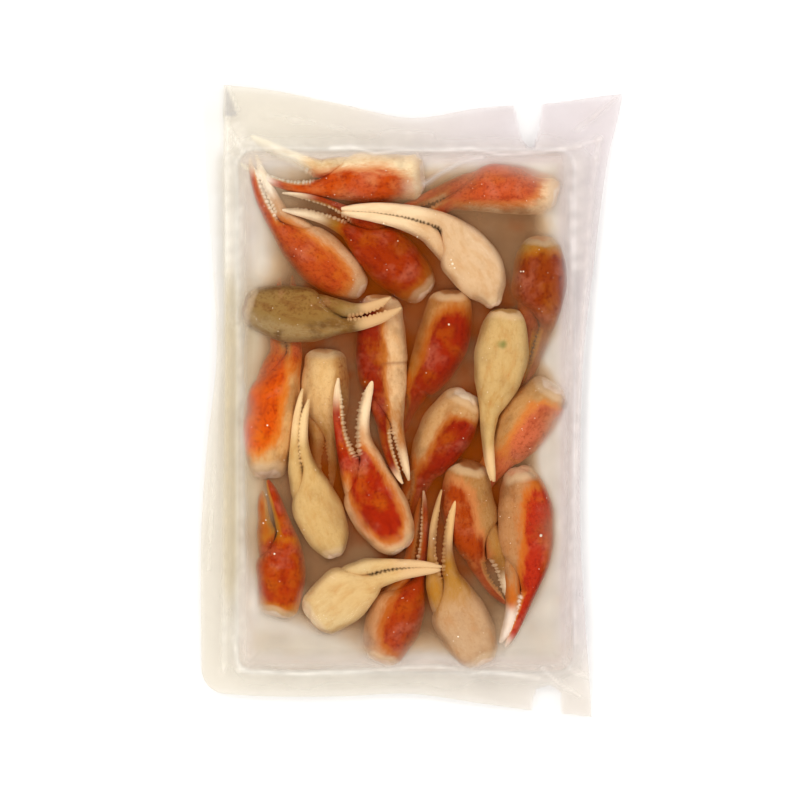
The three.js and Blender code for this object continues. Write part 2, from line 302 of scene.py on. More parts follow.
def add_piece(name, body, material, values=None):
    """Makes a mesh piece from a body's points in millimetres, quads and triangles, with one
    number for each point in every attribute of values, and lets it stand for the sealed pouch."""
    points, quads, triangles = body
    mesh = bpy.data.meshes.new(name)
    corners = np.concatenate([quads.ravel(), triangles.ravel()]).astype(np.int32)
    counts = np.concatenate([np.full(len(quads), 4), np.full(len(triangles), 3)])
    starts = np.concatenate([[0], np.cumsum(counts)[:-1]]).astype(np.int32)
    mesh.vertices.add(len(points))
    mesh.vertices.foreach_set("co", (points * MM).astype(np.float32).ravel())
    mesh.loops.add(len(corners))
    mesh.loops.foreach_set("vertex_index", corners)
    mesh.polygons.add(len(counts))
    mesh.polygons.foreach_set("loop_start", starts)
    mesh.polygons.foreach_set("use_smooth", np.ones(len(counts), bool))
    mesh.update(calc_edges=True)
    for key, numbers in (values or {}).items():
        layer = mesh.attributes.new(key, "FLOAT", "POINT")
        layer.data.foreach_set("value", numbers.astype(np.float32).ravel())
    mesh.materials.append(material)
    piece = bpy.data.objects.new(name, mesh)
    bpy.context.scene.collection.objects.link(piece)
    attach(piece, "root")
    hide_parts("sealed_pouch")
    return piece


def sheet_quads(rows, columns):
    """The quads of a sheet of rows by columns points, facing up where x grows along a row and
    y from row to row."""
    at = np.arange(rows * columns).reshape(rows, columns)
    return np.stack([at[:-1, :-1], at[:-1, 1:], at[1:, 1:], at[1:, :-1]], -1).reshape(-1, 4)


def ring_quads(rings, around):
    """The quads of a tube of rings that each close on themselves."""
    at = np.arange(rings * around).reshape(rings, around)
    turned = np.roll(at, -1, axis=1)
    return np.stack([at[:-1], turned[:-1], turned[1:], at[1:]], -1).reshape(-1, 4)


def fan(pole, ring, forward):
    """The triangles from one pole to a closed ring, facing along the tube or back."""
    turned = np.roll(ring, -1)
    ends = (ring, turned) if forward else (turned, ring)
    return np.stack([np.full(len(ring), pole), *ends], -1)


def end_fans(rings, around):
    """The triangles that close both ends of a tube, whose start and end poles are the two
    points after its rings."""
    count = rings * around
    return np.concatenate([fan(count, np.arange(around), False),
                           fan(count + 1, np.arange(count - around, count), True)])


# ---------------------------------------------------------------- the pouch's form


def along_edge(points, share):
    """A uniform Catmull-Rom line through points, at share of its way: each stretch is a cubic
    whose slope at a point is half the way between that point's two neighbours."""
    points = np.asarray(points, float)
    last = len(points) - 1
    place = share * last
    k = np.minimum(place.astype(int), last - 1)
    w = (place - k)[..., None]
    before, start, end = points[np.maximum(k - 1, 0)], points[k], points[k + 1]
    after = points[np.minimum(k + 2, last)]
    leave, arrive = (end - before) / 2, (after - start) / 2
    cubic = 2 * start - 2 * end + leave + arrive
    square = 3 * end - 3 * start - 2 * leave - arrive
    return ((cubic * w + square) * w + leave) * w + start


def film_shoulder(t):
    """Half of a smooth step and half of an arc of a parabola: the film leaves the margin at a
    slant and comes level at 1."""
    k = np.clip(t, 0, 1)
    return 0.5 * smooth(k) + 0.5 * k * (2 - k)


def depth_in_block(x, y):
    """The distance in from the block's foot, a rectangle with round corners."""
    dx = np.abs(x - BLOCK_X) - (BLOCK_WIDTH / 2 - BLOCK_CORNER)
    dy = np.abs(y - BLOCK_Y) - (BLOCK_LENGTH / 2 - BLOCK_CORNER)
    outside = np.hypot(np.maximum(dx, 0), np.maximum(dy, 0))
    return BLOCK_CORNER - outside - np.minimum(np.maximum(dx, dy), 0)


def margin_height(x, y):
    """The middle of the margin: it droops from the block to the pouch's edge, in waves that
    are a product of two sines and grow with the way out."""
    away = np.clip(-depth_in_block(x, y) / MARGIN_DROOP, 0, 1)
    droop = MARGIN_HEIGHT + (MARGIN_EDGE_HEIGHT - MARGIN_HEIGHT) * smooth(away)
    turn = 2 * np.pi / MARGIN_WAVE_LENGTH
    across = np.sin(turn * (x + MARGIN_WAVE_SLANT * y))
    along = np.cos(turn * (y - MARGIN_WAVE_START))
    return droop + MARGIN_WAVE_DEPTH * away * across * along


def plain_top(x, y):
    """The top without claws under it: the margin, then a round shoulder up to the block."""
    margin = margin_height(x, y) + MARGIN_THICKNESS / 2
    return margin + (BLOCK_HEIGHT - margin) * film_shoulder(depth_in_block(x, y) / TOP_SHOULDER)


def plain_under(x, y):
    """The underside: the margin, then a shoulder like the top's down to the table."""
    margin = margin_height(x, y) - MARGIN_THICKNESS / 2
    return margin * (1 - film_shoulder(depth_in_block(x, y) / UNDER_SHOULDER))


def press_corner(x, y, corner_x, corner_y, sign_x, sign_y, reach):
    """The move of a point as a square corner is pressed into a quarter of a circle, by the
    square-to-disc rule x times the root of one less half y squared."""
    a = np.clip(1 + sign_x * (x - corner_x) / reach, 0, 1)
    b = np.clip(1 + sign_y * (y - corner_y) / reach, 0, 1)
    return (sign_x * reach * a * (np.sqrt(1 - b * b / 2) - 1),
            sign_y * reach * b * (np.sqrt(1 - a * a / 2) - 1))


def on_pouch(sheet_x, sheet_y):
    """Moves the points of a plain sheet onto the pouch. The edges are drawn in by a pull that
    is whole at an edge and gone at the block's foot, and one corner is pressed round."""
    moved, sheet = [sheet_x, sheet_y], (sheet_x, sheet_y)
    share = (sheet_x / POUCH_WIDTH + 0.5, sheet_y / POUCH_LENGTH + 0.5)
    for axis, middle, block, pouch, edges in (
            (0, BLOCK_X, BLOCK_WIDTH, POUCH_WIDTH, (LEFT_EDGE, RIGHT_EDGE)),
            (1, BLOCK_Y, BLOCK_LENGTH, POUCH_LENGTH, (FOOT_EDGE, MOUTH_EDGE))):
        for sign, edge in zip((-1, 1), edges):
            foot, side = middle + sign * block / 2, sign * pouch / 2
            pull = np.clip((sheet[axis] - foot) / (side - foot), 0, 1)
            way = along_edge(edge, share[1 - axis])[..., axis] - side
            moved[axis] = moved[axis] + pull * way
    x, y = moved
    corner_x, corner_y, reach = ROUNDED_CORNER
    press_x, press_y = press_corner(x, y, corner_x, corner_y, -1, -1, reach)
    return x + press_x, y + press_y


def on_block(u, v, inset):
    """A sheet from -1 to 1 both ways laid on the block's plan, its corners pressed round."""
    half_w, half_l = BLOCK_WIDTH / 2 - inset, BLOCK_LENGTH / 2 - inset
    x, y = u * half_w, v * half_l
    radius = BLOCK_CORNER - inset
    for sign_x in (-1, 1):
        for sign_y in (-1, 1):
            move_x, move_y = press_corner(u * half_w, v * half_l, sign_x * half_w,
                                          sign_y * half_l, sign_x, sign_y, radius)
            x, y = x + move_x, y + move_y
    return x + BLOCK_X, y + BLOCK_Y


def closed_skin(x, y, top, under):
    """The points, quads and no triangles of a body between two sheets on the same plan, joined
    at the rim."""
    rows, columns = x.shape
    points = np.concatenate([np.stack([x, y, top], -1).reshape(-1, 3),
                             np.stack([x, y, under], -1).reshape(-1, 3)])
    upper = sheet_quads(rows, columns)
    below = rows * columns
    lower = upper[:, ::-1] + below
    at = np.arange(rows * columns).reshape(rows, columns)
    rim = np.concatenate([at[0, :-1], at[:-1, -1], at[-1, :0:-1], at[:0:-1, 0]])
    turned = np.roll(rim, -1)
    side = np.stack([rim + below, turned + below, turned, rim], -1)
    return points, np.concatenate([upper, lower, side]), np.zeros((0, 3), int)


# ---------------------------------------------------------------- the claws' form

PALM_THICKNESS = 0.62       # of its width
PALM_PLACES = np.array([0, 0.035, 0.14, 0.42, 0.70, 0.86, 1.0])
PALM_NARROWING = np.array([0, 0, 0, 0, 0.26, 0.62, 1.0])    # from the full width to the neck
PALM_INNER = np.array([-1, -1, -1, -1, -1, -0.45, 0])       # its edge by the moving finger
PALM_DEPTH = np.array([0, 0, 0, 1, 0.95, 0.82, 0.66])       # share of the full thickness
CUT_WHOLE = np.array([0.4, 0.48, 0.175])    # half widths by the cut end, for a cut share of 1
CUT_WHOLE_REST = np.array([0, 0, 0.29])     # and what they have whatever the cut share is
CUT_DEPTH = np.array([0.75, 0.92])
ROOT_PLACES = np.array([0.66, 0.8, 0.9, 1.0])               # the moving finger's root
ROOT_HALF = np.array([0.28, 0.34, 0.42, 0.5])               # of the whole width there
ROOT_MIDDLE = np.array([0.62, 0.63, 0.57, 0.5])
ROOT_DEPTH = np.array([0.3, 0.5, 0.6, 0.62])
OWN_PLACE = ("own_way", "own_side", "own_up")
CLAW_APART = 40             # how far apart two claws lie in their pattern
CLAW_MARKS = ("blush", "white", "olive", "rim", "spot", "crack", "meat", "teeth_gap_shade")
FINGER_PLACES = np.array([0.16, 0.4, 0.7, 0.9, 1.0])
FINGER_TAPER = np.array([1.05, 1.06, 0.88, 0.58, 0.26])
PALM_ROUNDNESS, FINGER_ROUNDNESS = 2.3, 2.0
PALM_STATIONS, FINGER_STATIONS = 44, 150
AROUND = 36
TOOTH_PITCH, TOOTH_HEIGHT, TOOTH_UNEVEN = 1.9, 0.95, 0.15
LUMP_SHARE = 0.012          # of the half width
LEAN_END, RAGGED_END = 0.35, 0.16   # places where the cut end's lean and raggedness are gone
CRACK_GROOVE, CRACK_LINE = 1 / 58, 1 / 75   # radius of a crack's groove and of its dark line
PATCH_POWER = 2.4           # of the red patch's rounded outline
UNDER_BLUSH = 0.35          # how red the underside is, as a share
WHITE_FADE = 0.42           # along a finger, over which its tip turns white
RIM_END = 0.1               # place where the worn rim of the cut end is gone
TIP_REACH = 0.25            # from a finger's last ring to its point
LEAST_HALF = 0.25           # of any section
FINGER_DEPTH = 1.08         # of its width
BACK_OVER_PLAIN = 1.2       # how far a thin limb may stand over the plain top
# The meat in the cut end: share of the section and way out, from the middle to the rim.
CUT_FACE = [(0.2, 1.9), (0.42, 1.75), (0.62, 1.4), (0.78, 0.95), (0.89, 0.5), (0.96, 0.2)]


def under_camera(plan, height):
    """Where a point at height stands so that the camera sees it over plan on the table."""
    axis = np.array(CAMERA_PLAN)
    return axis + (np.asarray(plan) - axis) * (1 - np.asarray(height)[..., None] / CAMERA_HEIGHT)


def through(knots, rows, places):
    """A smooth line through rows of numbers at the knots: cubic Hermite stretches, the slope
    at a row being the mean of the slopes on its two sides."""
    knots, rows = np.asarray(knots, float), np.asarray(rows, float)
    chords = np.diff(rows, axis=0) / np.diff(knots)[:, None]
    slopes = np.concatenate([chords[:1], (chords[1:] + chords[:-1]) / 2, chords[-1:]])
    k = np.clip(np.searchsorted(knots, places, side="right") - 1, 0, len(knots) - 2)
    gap = (knots[k + 1] - knots[k])
    w = ((places - knots[k]) / gap)[:, None]
    gap = gap[:, None]
    return (rows[k] * (1 + 2 * w) * (1 - w) ** 2 + slopes[k] * gap * w * (1 - w) ** 2
            + rows[k + 1] * w * w * (3 - 2 * w) + slopes[k + 1] * gap * w * w * (w - 1))


def limb_rows(claw, moving):
    """The rows (x, y, height, half width, half depth, offset, whole half width) of one limb
    and their places along it: 0 at the cut end, 1 at the fork and 2 at the tip. The fixed limb
    is the palm and its finger, and the moving one is the other finger with its root in the
    palm. Offset is how far left of the claw's line the limb's middle is."""
    cut, fork = np.array(claw.cut, float), np.array(claw.fork, float)
    line = (fork - cut) / np.linalg.norm(fork - cut)
    left = np.array([-line[1], line[0]])
    side = -claw.hand if moving else claw.hand
    tip = np.array(claw.tips[int(moving)], float)
    finger = claw.fingers[int(moving)] / 2
    thickness = claw.width * PALM_THICKNESS / 2
    whole = 0.5 + (claw.neck / 2 - 0.5) * PALM_NARROWING
    whole[:3] = claw.cut_share * CUT_WHOLE + CUT_WHOLE_REST
    neck_depth = 0.5 + 0.8 * claw.neck      # a slender neck is shallow too
    if moving:
        places, depth = ROOT_PLACES, ROOT_DEPTH * neck_depth
        whole = np.interp(places, PALM_PLACES, whole)
        half, middle = whole * ROOT_HALF, whole * ROOT_MIDDLE
    else:
        places, depth = PALM_PLACES, PALM_DEPTH.copy()
        depth[:2] = CUT_DEPTH * claw.cut_share ** 0.6
        depth[2] = 0.7 + 0.3 * claw.cut_share
        depth[-2:] *= neck_depth
        inner = np.full(len(places), -1.0) if claw.closed else PALM_INNER
        half, middle = whole * (1 - inner) / 2, whole * (1 + inner) / 2
    bow = claw.palm_bow * 4 * places * (1 - places)
    offset = side * middle * claw.width
    plan = cut + places[:, None] * (fork - cut) + left * (offset + bow)[:, None]
    height = claw.heights[0] + (claw.heights[1] - claw.heights[0]) * places
    root = fork + left * offset[-1]
    u = FINGER_PLACES
    finger_plan = root + u[:, None] * (tip - root) + left * (
        side * claw.bows[int(moving)] * 4 * u * (1 - u))[:, None]
    finger_height = claw.heights[1] + (claw.heights[2 + int(moving)] - claw.heights[1]) * smooth(
        u * 0.8 + 0.2)
    finger_half = finger * FINGER_TAPER
    finger_half[0] = (half[-1] * claw.width + finger_half[0]) / 2   # eases out of the palm
    ones = np.ones(len(u))
    rows = np.column_stack([
        np.concatenate([plan, finger_plan]),
        np.concatenate([height, finger_height]),
        np.concatenate([half * claw.width, finger_half]),
        np.concatenate([depth * thickness, finger_half * FINGER_DEPTH]),
        np.concatenate([offset, offset[-1] * ones]),
        np.concatenate([whole * claw.width, claw.neck / 2 * claw.width * ones]),
    ])
    cover = plain_top(rows[:, 0], rows[:, 1])
    rows[:, 2] = np.minimum(rows[:, 2], cover + BACK_OVER_PLAIN - 0.6 * rows[:, 4])
    rows[:, :2] = under_camera(rows[:, :2], rows[:, 2])
    return np.concatenate([places, 1 + u]), rows


def limb_form(claw, moving):
    """A limb as a swept section. Each section is a super-ellipse, level across and upright,
    square in plan to the claw's line, or to the finger's beyond the fork."""
    knots, rows = limb_rows(claw, moving)
    palm = np.linspace(knots[0], 1.0, PALM_STATIONS if not moving else 12, endpoint=False)
    finger = np.linspace(1.0, 2.0, FINGER_STATIONS)
    places = np.concatenate([palm, finger])
    line = through(knots, rows, places)
    plan, height, offset, whole = line[:, :2], line[:, 2], line[:, 5], line[:, 6]
    half, depth = np.maximum(line[:, 3:5], LEAST_HALF).T
    across_line = np.array([claw.cut[1] - claw.fork[1], claw.fork[0] - claw.cut[0]])
    spine = plan - offset[:, None] * across_line / np.linalg.norm(across_line)
    way = np.gradient(spine, axis=0)
    way /= np.linalg.norm(way, axis=1)[:, None]
    left = np.column_stack([-way[:, 1], way[:, 0]])
    run = np.concatenate([[0], np.cumsum(np.linalg.norm(np.diff(plan, axis=0), axis=1))])
    roundness = FINGER_ROUNDNESS + (PALM_ROUNDNESS - FINGER_ROUNDNESS) * window(
        places, -1, 0.95, 0.3)
    return dict(places=places, spine=spine, plan=plan, height=height, half=half, depth=depth,
                way=way, left=left, run=run, roundness=roundness, offset=offset, whole=whole)


def section(form, turn):
    """The super-ellipse's own two numbers, across and up, at the angles turn: a power of the
    cosine and of the sine that keeps their signs."""
    power = 2 / form["roundness"][:, None]
    across = np.sign(np.cos(turn)) * np.abs(np.cos(turn)) ** power
    up = np.sign(np.sin(turn)) * np.abs(np.sin(turn)) ** power
    return across, up


def limb_mesh(claw, moving):
    """The points, quads, triangles and attributes of one limb. Its skin is the section with
    saw teeth on the side of the other finger, low sine lumps on the palm, and a cut end that
    leans and is ragged by two sines of the turn."""
    form = limb_form(claw, moving)
    turn = np.linspace(0, 2 * np.pi, AROUND, endpoint=False)[None, :]
    across, up = section(form, turn)
    places, run = form["places"], form["run"]
    inner = claw.hand if moving else -claw.hand     # the other finger's side
    u = places - 1
    seed = claw.number * 1.7 + moving
    saw = np.abs((run / TOOTH_PITCH + TOOTH_UNEVEN * np.sin(run * 0.9 + seed)) % 1 * 2 - 1)
    size = claw.teeth * TOOTH_HEIGHT * window(u, 0.06, 0.86, 0.1) * (
        0.75 + 0.25 * np.sin(run * 1.7 + seed))
    size = size * np.clip(form["half"] / 1.8, 0.3, 1.3)
    facing = np.clip(across * inner, 0, 1) ** 3
    tooth = (size * (1 - saw) ** 0.6)[:, None] * facing
    lumps = LUMP_SHARE * form["half"][:, None] * np.sin(
        0.45 * run[:, None] + 3 * np.sin(turn) + seed) * (u[:, None] < 0)
    wide = form["half"][:, None] * across + inner * tooth + across * lumps
    tall = form["depth"][:, None] * up + up * lumps
    if claw.crack and not moving:
        groove = bell(places, claw.crack, CRACK_GROOVE)[:, None]
        wide = wide * (1 - 0.03 * groove)
        tall = tall * (1 - 0.06 * groove)
    lean = (0 if moving else claw.slant) * (1 - smooth(places / LEAN_END))
    ragged = 0.6 * np.sin(3 * turn + seed) + 0.35 * np.sin(7 * turn + 2.3 * seed)
    along = lean[:, None] * tall + ragged * (1 - smooth(places / RAGGED_END))[:, None]
    xy = (form["plan"][:, None, :] + form["left"][:, None, :] * wide[..., None]
          + form["way"][:, None, :] * along[..., None])
    rings = np.concatenate([xy, (form["height"][:, None] + tall)[..., None]], -1)
    attributes = claw_marks(claw, moving, form, across, up, tooth)
    # Painted shade: a dark line along the gap between closed teeth, on the other finger's side.
    line = smooth((across * inner - 0.58) / 0.26) * window(u, -0.04, 0.93, 0.08)[:, None]
    attributes["teeth_gap_shade"] = claw.teeth_gap_shade * line * (0.35 + 0.65 * saw[:, None])
    if not moving:
        rings, attributes = add_cut_face(form, rings, wide, tall, along, attributes)
    count = rings.shape[0]
    points = rings.reshape(-1, 3)
    start = rings[0].mean(0)
    end = rings[-1].mean(0) + np.append(form["way"][-1] * TIP_REACH, 0)
    points = np.concatenate([points, [start, end]])
    values = {key: np.concatenate([field.ravel(), [field[0].mean(), field[-1].mean()]])
              for key, field in attributes.items()}
    return points, ring_quads(count, AROUND), end_fans(count, AROUND), values


def claw_marks(claw, moving, form, across, up, tooth):
    """Where a limb is red, white, olive, worn, green or cracked, as numbers from 0 to 1, and
    each point's own place in millimetres. The red patch fades with a rounded distance: the
    2.4th root of a sum of powers of the two ways off."""
    places = form["places"][:, None] + 0 * across
    u = places - 1
    inner = claw.hand if moving else -claw.hand     # the other finger's side
    sideways = (form["offset"][:, None] + form["half"][:, None] * across) / form["whole"][:, None]
    middle, spread, start, end = claw.patch
    on_palm = 0 * places
    if spread:
        a = np.abs(sideways - middle) / spread
        b = np.abs(2 * places - start - end) / (end - start)
        way_off = (a ** PATCH_POWER + b ** 4) ** (1 / PATCH_POWER)
        on_palm = 1 - smooth(way_off - 0.5)
    outer = 0.2 + 0.8 * smooth((0.8 - across * inner) / 0.7)    # less by the other finger
    on_finger = claw.finger_blush[int(moving)] * smooth((places - 0.7) / 0.4) * outer
    above = UNDER_BLUSH + (1 - UNDER_BLUSH) * smooth((up + 0.6) / 0.6)
    blush = np.maximum(on_palm, on_finger) * above
    white_from = claw.white_from[int(moving)]
    white = smooth((u - white_from) / WHITE_FADE + 0.5)
    if white_from < 1:
        white = np.maximum(white, 0.9 * smooth(tooth / 0.35) * smooth(u / 0.2))
    olive = claw.olive * window(places, 0.72, 1 + min(white_from, 0.8) * 0.8, 0.45)
    rim = 1 - smooth(places / RIM_END)
    place, side, radius = claw.spot
    spot, crack, meat = 0 * places, 0 * places, 0 * places
    if radius:
        length = np.hypot(*(np.array(claw.fork) - np.array(claw.cut)))
        way_off = np.hypot((places - place) * length / claw.width * 2, across - side)
        spot = 1 - smooth(way_off / radius / 1.5)
    if claw.crack and not moving:
        crack = bell(places, claw.crack, CRACK_LINE) * smooth((across + 0.1) / 0.2)
    return dict(blush=blush, white=white, olive=olive, rim=rim, spot=spot, crack=crack, meat=meat,
                own_way=form["run"][:, None] + CLAW_APART * claw.number + 0 * across,
                own_side=form["half"][:, None] * across, own_up=form["depth"][:, None] * up)


def add_cut_face(form, rings, wide, tall, along, attributes):
    """Closes the cut end: rings that shrink from the shell's edge and bulge out over the meat."""
    face = []
    for share, out in CUT_FACE:
        plan = (form["plan"][0] + form["left"][0] * (wide[0] * share)[:, None]
                + form["way"][0] * (along[0] * share - out)[:, None])
        face.append(np.column_stack([plan, form["height"][0] + tall[0] * share]))
    rings = np.concatenate([np.array(face), rings])
    bare = np.array([smooth((0.98 - share) / 0.3) for share, _ in CUT_FACE])[:, None]
    bare = bare + 0 * wide[:1]
    marks = {}
    for key, field in attributes.items():
        extra = np.repeat(field[:1], len(CUT_FACE), axis=0) * (key != "blush")
        marks[key] = np.concatenate([bare if key == "meat" else extra, field])
    return rings, marks


# ---------------------------------------------------------------- maps of the claws


@dataclass
class Map:
    """A field on even cells over the pouch's plan."""

    x: np.ndarray
    y: np.ndarray

    def at(self, field, x, y):
        """The field at the points x, y, straight between its four cells."""
        column = np.clip((x - self.x[0]) / MAP_STEP, 0, len(self.x) - 1.001)
        row = np.clip((y - self.y[0]) / MAP_STEP, 0, len(self.y) - 1.001)
        i, j = column.astype(int), row.astype(int)
        a, b = column - i, row - j
        return ((field[j, i] * (1 - a) + field[j, i + 1] * a) * (1 - b)
                + (field[j + 1, i] * (1 - a) + field[j + 1, i + 1] * a) * b)

    def blurred(self, field, radius):
        """The field smoothed by a bell curve of that radius, as a product of its spectrum."""
        along = np.fft.fftfreq(len(self.y), MAP_STEP)[:, None]
        across = np.fft.rfftfreq(len(self.x), MAP_STEP)[None, :]
        bell = np.exp(-2 * (np.pi * radius) ** 2 * (along ** 2 + across ** 2))
        return np.fft.irfft2(np.fft.rfft2(field) * bell, s=field.shape)


def raise_over_limb(plan_map, top, form):
    """Raises top to one limb's back: each cell takes the section of its nearest station, whose
    height is a super-ellipse of the way across."""
    pick = np.searchsorted(form["run"], np.arange(0, form["run"][-1], STATION_STEP))
    spine, plan, left, way, half, depth, height, power = (form[key][pick] for key in (
        "spine", "plan", "left", "way", "half", "depth", "height", "roundness"))
    reach = half.max()
    columns = np.flatnonzero((plan_map.x > plan[:, 0].min() - reach)
                             & (plan_map.x < plan[:, 0].max() + reach))
    rows = np.flatnonzero((plan_map.y > plan[:, 1].min() - reach)
                          & (plan_map.y < plan[:, 1].max() + reach))
    part = np.ix_(rows, columns)
    x, y = np.meshgrid(plan_map.x[columns], plan_map.y[rows])
    dx, dy = x[..., None] - spine[:, 0], y[..., None] - spine[:, 1]
    k = np.argmin(dx ** 2 + dy ** 2, axis=-1)
    ox, oy = x - plan[k, 0], y - plan[k, 1]
    across = np.abs(ox * left[k, 0] + oy * left[k, 1]) / half[k]
    along = np.abs((x - spine[k, 0]) * way[k, 0] + (y - spine[k, 1]) * way[k, 1])
    inside = (across < 1) & (along < 2 * STATION_STEP)
    rise = depth[k] * np.maximum(1 - np.minimum(across, 1) ** power[k], 0) ** (1 / power[k])
    top[part] = np.where(inside, np.maximum(top[part], height[k] + rise), top[part])


def map_of_claws():
    """The map and the highest surface of all the claws on it, 0 where there is none."""
    plan_map = Map(*(np.arange(-reach, reach, MAP_STEP) for reach in (
        POUCH_WIDTH / 2 + MAP_MARGIN, POUCH_LENGTH / 2 + MAP_MARGIN)))
    top = np.zeros((len(plan_map.y), len(plan_map.x)))
    for claw in CLAWS:
        for moving in (False, True):
            raise_over_limb(plan_map, top, limb_form(claw, moving))
    return plan_map, top


# ---------------------------------------------------------------- film, ice and bed

# Creases and soft bands of the film: the points of each in plan, its half width, its height
# and its whiteness, which is a painted highlight along the film's shoulders and folds.
CREASES = [
    ([(-38, 119), (-29, 120), (-17, 115.5), (-5, 117.5), (16, 118), (28, 119), (42, 115.5),
      (57, 116.5), (80, 120)], 0.9, 0.5, 0.45),
    ([(6, 101), (14, 106), (24, 111.5), (33, 114)], 1.3, 0.5, 0.45),
    ([(-87, 149), (-87, 90), (-86.5, 20), (-87.5, -40), (-88, -100), (-88.5, -128)], 1.2, 0.4, 0.3),
    ([(-86, 129), (-79, 117)], 0.8, 0.4, 0.3),
    ([(89, 124), (85, 96), (82, 48), (78, -10), (76.5, -48), (75.5, -76), (78, -114)],
     1.4, 0.4, 0.3),
    ([(76.5, 76), (75, 34), (72.5, 5), (72, -40)], 0.9, 0.25, 0.15),
    ([(97, 143), (85, 133), (78, 128)], 1.5, 0.4, 0.25),
    ([(71, 119), (90, 124)], 1.4, 0.3, 0.3),
    ([(-81, -127), (-53, -129), (-24, -127.5), (9, -125), (38, -128), (60, -131)], 1.1, 0.6, 0.5),
    ([(-84, -112), (-81, -127)], 1.0, 0.4, 0.3),
    ([(62, -126), (70, -134), (80, -140)], 0.9, 0.5, 0.4),
    ([(70, -120), (76, -127), (84, -131)], 0.9, 0.4, 0.35),
    ([(-86, 148), (-82, 137), (-88, 134)], 0.7, 0.5, 0.35),
    ([(-93, 60), (-90, 20), (-93, -30), (-96, -80)], 1.0, 0.5, 0.2),
    ([(83, 60), (80, 20), (78, -30)], 0.7, 0.4, 0.2),
    ([(-70, 136), (-30, 128), (10, 126)], 2.2, 0.5, 0.12),
    ([(-80, 90), (-81, 40), (-80, -20), (-79, -80)], 1.2, 0.3, 0.15),
    ([(77, 112), (78, 92), (78.5, 66)], 5.5, 0.0, 0.5),
    ([(-88, 112), (-87, 88), (-86.5, 62)], 4.5, 0.0, 0.4),
    ([(-81, 96), (-81, 0), (-80, -110)], 2.5, 0.0, 0.14),
    ([(75.5, 98), (75.5, -20), (73.5, -105)], 1.2, 0.1, 0.2),
    ([(-72, -112), (-50, -114), (-22, -113.5)], 5.0, 0.0, 0.14),
    ([(-62, 120), (-20, 120.5), (40, 119), (70, 120)], 3.5, 0.0, 0.14),
]
# Places where the film is made quite clear, so the white table shows through as white as the
# glare off the film there: a painted highlight. Corners in plan.
CLEAR_GLARE_PLACES = [
    [(48, 141.5), (52, 123), (55, 119), (58, 119), (60.5, 126), (63, 142)],
    [(57, -143), (59, -136), (66, -134), (71.5, -138), (72, -150), (57, -148)],
]
# The corner fold, whose darker grey tone is painted shade: corners in plan.
CORNER_FOLD = [(-87.4, 148.9), (-88.6, 134.7), (-82.2, 134.7)]
# Milky veils in the ice: middle in plan, radius and strength.
VEILS = [
    (58, 104, 7, 0.16), (66, 82, 5, 0.25), (-87, 104, 6, 0.3),
    (-66, 63, 9, 0.3), (-6, 74, 5.5, 0.16), (-21, -58, 3.5, 0.22), (-31, -52, 8, 0.16),
    (68, -60, 9, 0.34), (68, -10, 8, 0.3), (-78, -4, 8, 0.25), (52, 112, 12, 0.16),
    (12, 111, 7, 0.3), (-1, 99, 6, 0.35), (-76, -95, 7, 0.2), (2, -108, 8, 0.12),
]
# Where the ice has more or less painted amber shade than its neighbours: middle, radius and change.
AMBER_SHADE_PLACES = [
    (51, 82, 10, 0.36), (66, -22, 8, -0.3), (66, 20, 7, -0.3), (-79, 28, 8, -0.3),
    (-75, -66, 12, 0.2), (-1, 99, 7, -0.5), (-22, -77, 7, -0.25), (-16, -110, 7, -0.1),
    (-53, -90, 5, -0.25), (69, -30, 9, -0.4),
]
# Bigger bubbles set where the film glints, their bright cream a painted highlight: middle in
# plan and radius.
GLINTS = [
    (18.6, 65.4, 0.5), (19.3, 63.6, 0.75), (20.2, 61.6, 0.5), (51.1, 60.1, 0.38),
    (52.3, 60.1, 0.42), (2.9, 76.2, 0.5), (-6.2, 74.3, 0.35), (-12.8, 82.4, 0.5),
    (17.6, 35.4, 0.5), (62.7, 20.2, 0.45), (-67, -11.6, 0.45), (-63.7, -71.5, 0.5),
    (-68.9, -57.2, 0.4), (-67.7, -55.8, 0.35), (-67.5, -43.9, 0.4), (21.9, -110, 0.5),
    (10.5, -64.4, 0.5), (58, -99, 0.8), (60.3, -62.9, 1.1),
]
SPUR_MIDDLE = (71.8, -1.6, 12.8)    # of the broken joint that stands by a cut end
SPUR_RADII = (2.0, 2.5, 2.2)
# Milkiness of the film: everywhere, and more where it stands steep, in the margin, at the
# block's foot, along the line of the foot and the soft ring inside it, in the fold and in the
# beige stripe. A band is the way in to its middle, its half width and its milkiness. The foot
# bands are painted light, white laid over the shade round the block's foot.
CLEAR_HAZE, STEEP_HAZE, MARGIN_HAZE, FOLD_HAZE, BEIGE_HAZE = 0.001, 0.05, 0.13, 0.3, 0.05
FOOT_PAINTED_LIGHT_BANDS = [(-1, 5, 0.18), (0.3, 1.3, 0.25), (4, 2.6, 0.14)]


def distance_to(x, y, points):
    """The distance to a line of straight stretches."""
    best = np.full(x.shape, 1e9)
    for (ax, ay), (bx, by) in zip(points[:-1], points[1:]):
        t = ((x - ax) * (bx - ax) + (y - ay) * (by - ay)) / ((bx - ax) ** 2 + (by - ay) ** 2)
        t = np.clip(t, 0, 1)
        best = np.minimum(best, np.hypot(x - ax - t * (bx - ax), y - ay - t * (by - ay)))
    return best


def inside_of(x, y, corners, soft):
    """1 well inside a convex outline and 0 outside it, by the least way in from its sides."""
    corners = np.asarray(corners, float)
    middle = corners.mean(0)
    way_in = np.full(x.shape, 1e9)
    for (ax, ay), (bx, by) in zip(corners, np.roll(corners, -1, axis=0)):
        length = np.hypot(bx - ax, by - ay)
        side = ((by - ay) * (x - ax) - (bx - ax) * (y - ay)) / length
        inward = np.sign((by - ay) * (middle[0] - ax) - (bx - ax) * (middle[1] - ay))
        way_in = np.minimum(way_in, side * inward)
    return smooth(way_in / soft + 0.5)


def both_sheets(**fields):
    """Fields that are the same over and under, for a body of two sheets."""
    return {key: np.stack([field, field]) for key, field in fields.items()}


